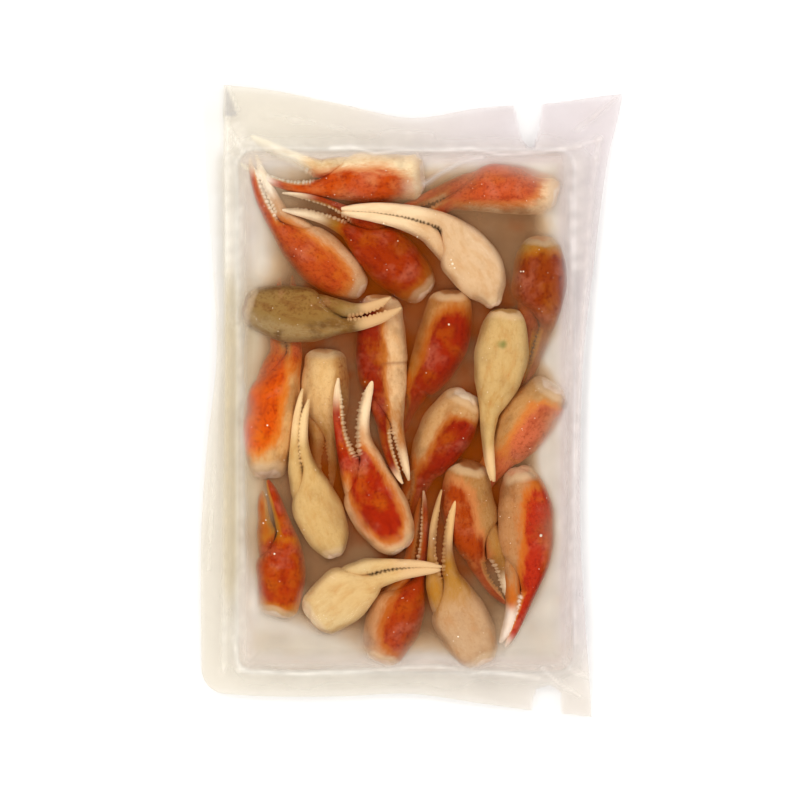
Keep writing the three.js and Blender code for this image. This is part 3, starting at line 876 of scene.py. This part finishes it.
def film_top_map(plan_map, claw_top):
    """The film over the claws: the plain top, lifted wherever a claw stands above it, drawn out
    round the claw as a taut film is, and sagging a little in between."""
    x, y = np.meshgrid(plan_map.x, plan_map.y)
    base = plain_top(x, y)
    widened = claw_top
    for axis in (0, 1, 0, 1):
        beside = [np.roll(widened, step, axis) for step in (-1, 1)]
        widened = np.maximum(widened, np.maximum(*beside))
    excess = np.maximum(widened + FILM_OVER_CLAW - base, 0) * (widened > 0)
    drawn = 1.25 * plan_map.blurred(excess, 2.2)
    sag = 0.35 * ripple(x, y, 31) * smooth(depth_in_block(x, y) / 20)
    return base + np.maximum(drawn + np.minimum(sag, 0), excess)


def make_film(material, plan_map, film_map):
    """The clear skin of the pouch: a sheet over and a sheet under, joined round the edge."""
    columns, rows = FILM_CELLS
    sheet_x, sheet_y = np.meshgrid(np.linspace(-1, 1, columns) * POUCH_WIDTH / 2,
                                   np.linspace(-1, 1, rows) * POUCH_LENGTH / 2)
    x, y = on_pouch(sheet_x, sheet_y)
    top, under = plan_map.at(film_map, x, y), plain_under(x, y)
    way_in = depth_in_block(x, y)
    outside = smooth(-way_in / 3 + 0.5)
    haze = CLEAR_HAZE + STEEP_HAZE * smooth(1 - way_in / TOP_SHOULDER) + MARGIN_HAZE * outside
    # Painted light: white bands over the shade round the block's foot.
    haze = haze + sum(white * bell(way_in, place, half) for place, half, white in FOOT_PAINTED_LIGHT_BANDS)
    haze = haze * (1 + 0.25 * ripple(x, y, 23))
    # Each crease lifts the film and whitens it; the whiteness is a painted highlight.
    for points, half, rise, white in CREASES:
        ridge = bell(distance_to(x, y, points), 0, half) * (0.75 + 0.25 * ripple(x, y, 9))
        top = top + rise * ridge
        haze = haze + white * ridge
    fold = inside_of(x, y, CORNER_FOLD, 0.8)
    beige = bell(x, -85.5, 4.5) * window(y, -95, 58, 40)
    haze = haze + FOLD_HAZE * fold + BEIGE_HAZE * beige
    left_strip = smooth((-88 - x) / 1.5 + 0.5) * smooth((y + 60) / 120)
    haze = haze * (1 - 0.85 * left_strip)
    # Painted highlight: the film is cleared where it glares.
    for corners in CLEAR_GLARE_PLACES:
        haze = haze * (1 - inside_of(x, y, corners, 1.2))
    rose = smooth((x + 100) / 190) * (1 - 0.6 * smooth((-95 - y) / 40))
    values = dict(both_sheets(rose=rose, beige=beige, fold=fold),
                  film_haze=np.stack([haze, 0.5 * haze * outside + 0.02]))
    return add_piece("pouch_film", closed_skin(x, y, top, under), material, values)


def ice_haze(x, y, plan_map, claw_top, film_map):
    """How dense the ice is over each place: 1 less a falling exponential of the depth of ice
    over the claws, beyond the clear depth, which is less by the block's side. The veils add
    to it."""
    way_in = depth_in_block(x, y)
    inner = smooth((way_in - 3) / 20)
    floor = plan_map.blurred(np.maximum(claw_top, BED_TOP), 1.2)
    deep = plan_map.at(film_map - floor, x, y)
    haze = 1 - np.exp(-np.maximum(deep - CLEAR_DEPTH - 2.2 * inner, 0) / (HAZE_DEPTH + 3 * inner))
    haze = (haze + 0.12 * (1 - smooth(way_in / 12))) * smooth(way_in / 6)
    haze = haze + bells(x, y, VEILS)
    return np.clip(haze * (1 + 0.12 * ripple(x, y, 17)), 0, MOST_HAZE)


def ice_marks(x, y, plan_map, claw_cover):
    """How much painted amber shade, painted pale light and beige the ice has, over and under. The
    amber is painted shade and reddish bounce light among the claws: it grows with the share of
    claws round a place, less so by the block's side. That side is beige along the left, apart
    from its ends, and pale elsewhere, a painted light on the rim."""
    rim = 1 - smooth((depth_in_block(x, y) - 3) / 11)
    share = (plan_map.at(claw_cover, x, y) - CLEAR_COVER) / (1 - CLEAR_COVER)
    amber = np.clip(share, 0, 1) * (1 - 0.75 * rim) + bells(x, y, AMBER_SHADE_PLACES)
    beige = (1 - smooth((x + 80) / 24)) * window(y, -78, 60, 50)
    return both_sheets(amber=np.clip(amber, 0, 1), pale=rim * (1 - beige), beige=beige)


def make_ice(material, plan_map, claw_top, claw_cover, film_map):
    """The glaze that holds the claws: a closed body just inside the film."""
    columns, rows = ICE_CELLS
    u, v = np.linspace(-1, 1, columns), np.linspace(-1, 1, rows)
    u, v = (0.8 * k + 0.2 * np.sin(np.pi * k / 2) for k in np.meshgrid(u, v))
    x, y = on_block(u, v, 0.4)
    inside = smooth(depth_in_block(x, y) / 2)
    middle = margin_height(x, y)
    gap = ICE_UNDER_FILM + 0.9 * (1 - smooth(depth_in_block(x, y) / TOP_SHOULDER))
    top = plan_map.at(film_map, x, y) - gap
    under = plain_under(x, y) + gap
    top, under = (middle + (k - middle) * inside for k in (top, under))
    haze = ice_haze(x, y, plan_map, claw_top, film_map)
    below = np.clip(haze * 0.6 + 0.3, 0, 0.95) * smooth(depth_in_block(x, y) / 10)
    values = dict(haze=np.stack([haze, below]), **ice_marks(x, y, plan_map, claw_cover))
    return add_piece("ice_glaze", closed_skin(x, y, top, under), material, values)


def make_bed(material, plan_map, claw_cover):
    """The cloudy ice among the claws, a cushion with a rolling top."""
    columns, rows = BED_CELLS
    u, v = np.meshgrid(np.linspace(-1, 1, columns), np.linspace(-1, 1, rows))
    x, y = on_block(u, v, 0.8)
    roll = film_shoulder((depth_in_block(x, y) - 0.8) / 7)
    middle = (BED_TOP + BED_UNDER) / 2
    top = middle + (BED_TOP - middle + 0.9 * ripple(x, y, 26) + 0.4 * ripple(y, x, 11)) * roll
    under = middle + (BED_UNDER - middle) * roll
    return add_piece("cloudy_bed", closed_skin(x, y, top, under), material,
                     ice_marks(x, y, plan_map, claw_cover))


def round_balls(middles, radii, rings, around):
    """Spheres, or eggs of three radii each: rings of cosines and sines of the two angles, with
    a pole at each end, moved to their middles."""
    up = np.linspace(-np.pi / 2, np.pi / 2, rings + 2)[1:-1, None]
    turn = np.linspace(0, 2 * np.pi, around, endpoint=False)[None, :]
    ball = np.stack([np.cos(up) * np.cos(turn), np.cos(up) * np.sin(turn),
                     np.sin(up) + 0 * turn], -1).reshape(-1, 3)
    ball = np.concatenate([ball, [(0, 0, -1), (0, 0, 1)]])
    points = (middles[:, None, :] + radii[:, None, :] * ball[None, :, :]).reshape(-1, 3)
    offset = (np.arange(len(middles)) * len(ball))[:, None, None]
    quads = (ring_quads(rings, around)[None] + offset).reshape(-1, 4)
    return points, quads, (end_fans(rings, around)[None] + offset).reshape(-1, 3)


def make_bubbles(material, plan_map, claw_top, film_map):
    """The bubbles just under the film, over the claws, bright cream as a painted highlight."""
    random = np.random.default_rng(4)
    tries = random.uniform((-75, -118), (72, 112), (900, 2))
    over_claw = plan_map.at(claw_top, tries[:, 0], tries[:, 1]) > HIGH_BACK
    glints = np.array(GLINTS)
    places = np.concatenate([glints[:, :2], tries[over_claw][:BUBBLES]])
    radius = np.concatenate([glints[:, 2], random.uniform(0.08, 0.25, len(places) - len(glints))])
    height = plan_map.at(film_map, places[:, 0], places[:, 1]) - BUBBLE_GAP - radius
    balls = round_balls(np.column_stack([places, height]), np.column_stack([radius] * 3), 5, 8)
    return add_piece("ice_bubbles", balls, material)


def make_spur(material):
    """The stub of a broken joint beside a cut end: an egg."""
    egg = round_balls(np.array([SPUR_MIDDLE]), np.array([SPUR_RADII]), 9, 16)
    return add_piece("joint_spur", egg, material)


def make_claw(material, claw):
    """One claw: the palm with its fixed finger, and the moving finger, as one piece."""
    fixed, moving = (limb_mesh(claw, is_moving) for is_moving in (False, True))
    offsets = (0, len(fixed[0]), len(fixed[0]))
    body = [np.concatenate([a, b + offset]) for a, b, offset in zip(fixed, moving, offsets)]
    values = {key: np.concatenate([fixed[3][key], moving[3][key]]) for key in fixed[3]}
    return add_piece(f"claw_{claw.number:02d}", body, material, values)


# ---------------------------------------------------------------- materials


def laid_over(tree, base, layers):
    """A colour with others laid over it in turn. Each layer is a value, the two numbers
    between which the layer comes in smoothly, its share where it is whole, its colour and,
    if it isn't plainly mixed in, the way of mixing."""
    for value, low, high, share, colour, *mixing in layers:
        there = node(tree, "MapRange", {"Value": value, "From Min": low, "From Max": high,
                                        "To Max": share}, interpolation_type="SMOOTHSTEP")
        base = node(tree, "Mix", {0: there, 6: base, 7: colour}, 2, data_type="RGBA",
                    blend_type=mixing[0] if mixing else "MIX")
    return base


def marks_of(tree, names):
    """The outputs of the piece's own attributes, by name."""
    return {name: node(tree, "Attribute", output="Fac", attribute_name=name) for name in names}


def own_grain(tree, along, across, detail=2.0, roughness=0.5):
    """Soft noise drawn out along the claw, of streaks about so many millimetres long and wide,
    in the claw's own unbent space."""
    place = node(tree, "CombineXYZ", list(marks_of(tree, OWN_PLACE).values()))
    place = node(tree, "VectorMath", (place, (1 / along, 1 / across, 1 / across)),
                 operation="MULTIPLY")
    return node(tree, "TexNoise", {"Vector": place, "Scale": 1.0, "Detail": detail,
                                   "Roughness": roughness}, "Fac")


def cooked_shell(claw):
    """Crab shell, boiled: thin chitin, pale below and red above with orange between, with fine
    fibres along it and brown specks. It lies in ice, so it has next to no gloss of its own. The
    tips are horn."""
    material, tree = new_material(f"boiled_shell_{claw.number:02d}")
    marks = marks_of(tree, CLAW_MARKS)
    # The shell's own fibres and specks are finer than a picture shows, so these are coarser.
    clouds = grain(tree, 10, 3)
    streaks = own_grain(tree, 9, 3.4, 3, 0.6)
    fibres = own_grain(tree, 2.4, 0.6, 2, 0.6)
    specks = grain(tree, 1.5, 2, 0.6)
    uneven = node(tree, "Math", (streaks, 0.7, -0.475), operation="MULTIPLY_ADD")
    uneven = node(tree, "Math", (fibres, 0.25, uneven), operation="MULTIPLY_ADD")
    olive, edge, worn = (
        node(tree, "Math", (uneven, share, marks[name]), operation="MULTIPLY_ADD")
        for name, share in (("olive", 1.0), ("blush", 1.0), ("rim", 0.6)))
    between = node(tree, "Mix", {0: 0.45, 6: claw.blush, 7: claw.ember}, 2, data_type="RGBA")
    bloom = grain(tree, 16, 3, 0.6, 0.3)
    red = laid_over(tree, claw.blush, [
        (clouds, 0.45, 0.7, 0.22, claw.ember),
        (bloom, 0.5, 0.72, 0.3, "#d98e74"),
        (streaks, 0.46, 0.7, 0.5, "#c88660", "MULTIPLY"),
        (specks, 0.48, 0.72, 0.5, "#b06a40", "MULTIPLY"),
    ])
    horn = laid_over(tree, claw.horn, [(streaks, 0.45, 0.7, 0.35, "#d9b488")])
    # The meat, darkened for some claws as painted shade.
    flesh_and_shade = laid_over(tree, claw.flesh_and_shade, [(clouds, 0.35, 0.65, 0.5, "#dcae8a", "MULTIPLY")])
    base = laid_over(tree, claw.shell, [
        (streaks, 0.4, 0.66, 0.35, "#ecd6b0", "MULTIPLY"),
        (clouds, 0.46, 0.7, claw.mottle, "#946c3a", "MULTIPLY"),
        (fibres, 0.5, 0.8, 0.1, "#fff0d4"),
        (specks, 0.5, 0.75, min(0.1 + claw.mottle * 0.6, 0.4), "#d0a470", "MULTIPLY"),
        (olive, 0.1, 1.2, 1.0, "#b27a10"),
        (edge, 0.02, 0.55, 0.88, between),
        (edge, 0.42, 0.9, 1.0, red),
        (marks["white"], 0.0, 1.0, 1.0, horn),
        (worn, 0.2, 1.1, 0.6, "#ecd0aa"),
        (marks["spot"], 0.0, 1.0, 0.8, "#6f7a3a"),
        (marks["crack"], 0.0, 1.0, 0.6, "#8a5030"),
        # Painted shade in the gap between the closed teeth.
        (marks["teeth_gap_shade"], 0.0, 1.0, 0.85, "#4a3014"),
        (marks["meat"], 0.0, 1.0, 1.0, flesh_and_shade),
    ])
    bump = node(tree, "Bump", {"Height": specks, "Strength": 0.2, "Distance": 0.3 * MM})
    shader = node(tree, "BsdfPrincipled", {"Base Color": base, "Normal": bump, "Roughness": 0.5,
                                           "IOR": 1.5, "Specular IOR Level": 0.05})
    node(tree, "OutputMaterial", {"Surface": shader})
    return material


def clear_film():
    """Polyamide and polythene film, blown and heat sealed: clear and shiny, a little milky
    where the two layers lie on each other, and white along its creases and round the block's
    foot: painted highlights on the creases and painted light over the shade at the foot."""
    material, tree = new_material("clear_film_blown")
    marks = marks_of(tree, ("film_haze", "rose", "beige", "fold"))
    crinkle = grain(tree, 9, 3, 0.5, 0.5)
    relief = node(tree, "Math", (grain(tree, 2.2, 2), 0.15, crinkle), operation="MULTIPLY_ADD")
    bump = node(tree, "Bump", {"Height": relief, "Strength": 0.4, "Distance": 0.6 * MM})
    tone = laid_over(tree, "#f7f1e5", [
        (marks["rose"], 0.0, 1.0, 1.0, "#ebe1dd"),
        (marks["beige"], 0.0, 1.0, 1.0, "#e0d0ae"),
        # Painted shade: the darker grey of the corner fold.
        (marks["fold"], 0.0, 1.0, 1.0, "#cfcac4"),
    ])
    sheet = node(tree, "BsdfPrincipled", {"Base Color": tone, "Normal": bump, "Roughness": 0.3,
                                          "IOR": 1.5})
    mirror = node(tree, "BsdfPrincipled", {"Normal": bump, "Base Color": "#ffffff",
                                           "Metallic": 1.0, "Roughness": 0.08})
    stain = laid_over(tree, "#fbf9f5", [(marks["rose"], 0.0, 1.0, 1.0, "#fbf9fa")])
    tint = laid_over(tree, "#ffffff", [(marks["film_haze"], 0.0, 0.1, 1.0, stain)])
    clear = node(tree, "BsdfTransparent", {"Color": tint})
    facing = node(tree, "LayerWeight", {"Normal": bump, "Blend": 0.5}, "Facing")
    steep = node(tree, "Math", (facing, 4.0), operation="POWER")
    gloss = node(tree, "Math", (steep, 0.3, 0.003), operation="MULTIPLY_ADD")
    skin = node(tree, "MixShader", (gloss, clear, mirror))
    veil = node(tree, "Math", (crinkle, 0.3, 0.85), operation="MULTIPLY_ADD")
    veil = node(tree, "Math", (veil, marks["film_haze"]), operation="MULTIPLY", use_clamp=True)
    shader = node(tree, "MixShader", (veil, skin, sheet))
    node(tree, "OutputMaterial", {"Surface": shader})
    return material


def ice_tone(tree, clouds):
    """The ice's colour: white, beige or pale by its marks, the pale being painted light on the rim,
    then tan, brown and a deep orange brown with the painted amber shade among the claws, in clouds."""
    marks = marks_of(tree, ("amber", "beige", "pale"))
    amber = node(tree, "Math", (clouds, 0.3, marks["amber"]), operation="MULTIPLY_ADD")
    return laid_over(tree, "#e2d8ca", [
        (marks["beige"], 0.0, 1.0, 1.0, "#d4c09e"),
        (marks["pale"], 0.0, 1.0, 1.0, "#f2e9e3"),
        (amber, 0.06, 0.5, 1.0, "#c0a07c"),
        (amber, 0.36, 0.7, 1.0, "#926a48"),
        (amber, 0.74, 0.96, 1.0, "#883a00"),
    ])


def cloudy_ice():
    """Water ice, frozen fast round the claws: clear over them and milky with fine air towards the
    sides. Its brown among the claws, and the warm tint it lets through there, are painted shade
    and bounce light from the claws."""
    material, tree = new_material("glaze_ice_frozen")
    clouds = grain(tree, 14, 4, 0.55, 0.4)
    body = node(tree, "BsdfPrincipled", {"Base Color": ice_tone(tree, clouds), "Roughness": 0.55,
                                         "IOR": 1.31, "Specular IOR Level": 0.0})
    milk = node(tree, "Math", (clouds, 0.5, 0.75), operation="MULTIPLY_ADD")
    haze = marks_of(tree, ("haze",))["haze"]
    milk = node(tree, "Math", (milk, haze), operation="MULTIPLY", use_clamp=True)
    amber = marks_of(tree, ("amber",))["amber"]
    # A warm tint that follows the painted amber shade.
    stain = laid_over(tree, "#ffffff", [(amber, 0.3, 0.85, 1.0, "#fffaf2")])
    clear = node(tree, "BsdfTransparent", {"Color": stain})
    shader = node(tree, "MixShader", (milk, clear, body))
    node(tree, "OutputMaterial", {"Surface": shader})
    return material


def cloudy_bed():
    """Ice among the claws, frozen last: dense and painted brown in the middle, white towards the
    sides. The brown and its darker streaks are painted shade and bounce light among the claws."""
    material, tree = new_material("bed_ice_painted_shade")
    tone = ice_tone(tree, grain(tree, 11, 4, 0.6, 0.5))
    streaks = node(tree, "Math", (grain(tree, 3, 3, 0.6), marks_of(tree, ("amber",))["amber"]),
                   operation="MULTIPLY")
    # Darker streaks of painted shade where the ice is amber.
    tone = laid_over(tree, tone, [(streaks, 0.3, 0.7, 0.5, "#6a3408")])
    shader = node(tree, "BsdfPrincipled", {"Base Color": tone, "Roughness": 0.6, "IOR": 1.31,
                                           "Specular IOR Level": 0.0})
    node(tree, "OutputMaterial", {"Surface": shader})
    return material


def bubble_skin():
    """Air let in the ice as it froze: little bubbles, painted a bright cream that stands for their
    glints, a painted highlight.
    """
    material, tree = new_material("bubble_painted_glint")
    shader = node(tree, "BsdfPrincipled", {"Base Color": "#fff2dc", "Roughness": 0.15,
                                           "IOR": 1.31})
    node(tree, "OutputMaterial", {"Surface": shader})
    return material


def broken_joint():
    """Crab shell, boiled, at a broken joint: brown, matt and a little speckled."""
    material, tree = new_material("boiled_shell_joint")
    tone = laid_over(tree, "#a8783e", [(grain(tree, 1.2), 0.4, 0.65, 0.8, "#70481c")])
    shader = node(tree, "BsdfPrincipled", {"Base Color": tone, "Roughness": 0.6,
                                           "Specular IOR Level": 0.05})
    node(tree, "OutputMaterial", {"Surface": shader})
    return material


def table_top():
    """Matt white board, painted: the plain pale ground."""
    material, tree = new_material("table_white_painted")
    tone = laid_over(tree, "#fdfdfd", [(grain(tree, 40), 0.3, 0.7, 1.0, "#fbfbfb")])
    shader = node(tree, "BsdfPrincipled", {"Base Color": tone, "Roughness": 0.8})
    node(tree, "OutputMaterial", {"Surface": shader})
    return material


# ---------------------------------------------------------------- camera, light, ground


def place_camera():
    """The camera that looks straight down and spans FIELD on the table."""
    data = bpy.data.cameras.new("overhead")
    data.sensor_width = SENSOR
    data.lens = SENSOR * CAMERA_HEIGHT / FIELD
    data.clip_start, data.clip_end = 0.01, 20
    camera = bpy.data.objects.new("overhead", data)
    camera.location = (CAMERA_PLAN[0] * MM, CAMERA_PLAN[1] * MM, CAMERA_HEIGHT * MM)
    bpy.context.scene.collection.objects.link(camera)
    bpy.context.scene.camera = camera


def place_sun(name, bearing, strength):
    """A broad far light: bearing is where it stands in plan, in degrees from the right and
    anticlockwise."""
    data = bpy.data.lights.new(name, "SUN")
    data.angle = math.radians(WINDOW_SPREAD)
    data.energy = strength
    data.color = to_linear("#fffcf8")[:3]
    light = bpy.data.objects.new(name, data)
    light.rotation_euler = (0, math.radians(WINDOW_TILT), math.radians(bearing))
    bpy.context.scene.collection.objects.link(light)


def light_the_scene():
    """Four broad lights round the pouch, and a room that is dim overhead and bright low down."""
    scene = bpy.context.scene
    scene.view_settings.view_transform = "Standard"
    scene.view_settings.look = "None"
    world = bpy.data.worlds.new("room")
    world.use_nodes = True
    tree = world.node_tree
    sky = tree.nodes["Background"]
    way = node(tree, "TexCoord", output="Generated")
    height = node(tree, "SeparateXYZ", (way,), 2)
    strength = node(tree, "MapRange", {"Value": height, "From Min": 0.35, "From Max": 0.97,
                                       "To Min": 0.97, "To Max": 0.26},
                    interpolation_type="SMOOTHSTEP")
    sky.inputs["Color"].default_value = to_linear("#ffffff")
    tree.links.new(strength, sky.inputs["Strength"])
    scene.world = world
    for bearing, strength in WINDOWS:
        place_sun(f"window_{bearing}", bearing, strength)


def make_ground():
    """The table: one flat square."""
    corners = np.array([(-1, -1, 0), (1, -1, 0), (1, 1, 0), (-1, 1, 0)]) * TABLE_SIZE / 2
    mesh = bpy.data.meshes.new("table_top")
    mesh.from_pydata(corners.tolist(), [], [(0, 1, 2, 3)])
    mesh.materials.append(table_top())
    ground = bpy.data.objects.new("table_top", mesh)
    bpy.context.scene.collection.objects.link(ground)


# ---------------------------------------------------------------- the making

place_camera()
light_the_scene()
make_ground()

plan_map, claw_top = map_of_claws()
claw_cover = plan_map.blurred((claw_top > 0).astype(float), COVER_REACH)
film_map = film_top_map(plan_map, claw_top)

for claw in CLAWS:
    make_claw(cooked_shell(claw), claw)
make_spur(broken_joint())
make_bed(cloudy_bed(), plan_map, claw_cover)
make_bubbles(bubble_skin(), plan_map, claw_top, film_map)
make_ice(cloudy_ice(), plan_map, claw_top, claw_cover, film_map)
make_film(clear_film(), plan_map, film_map)
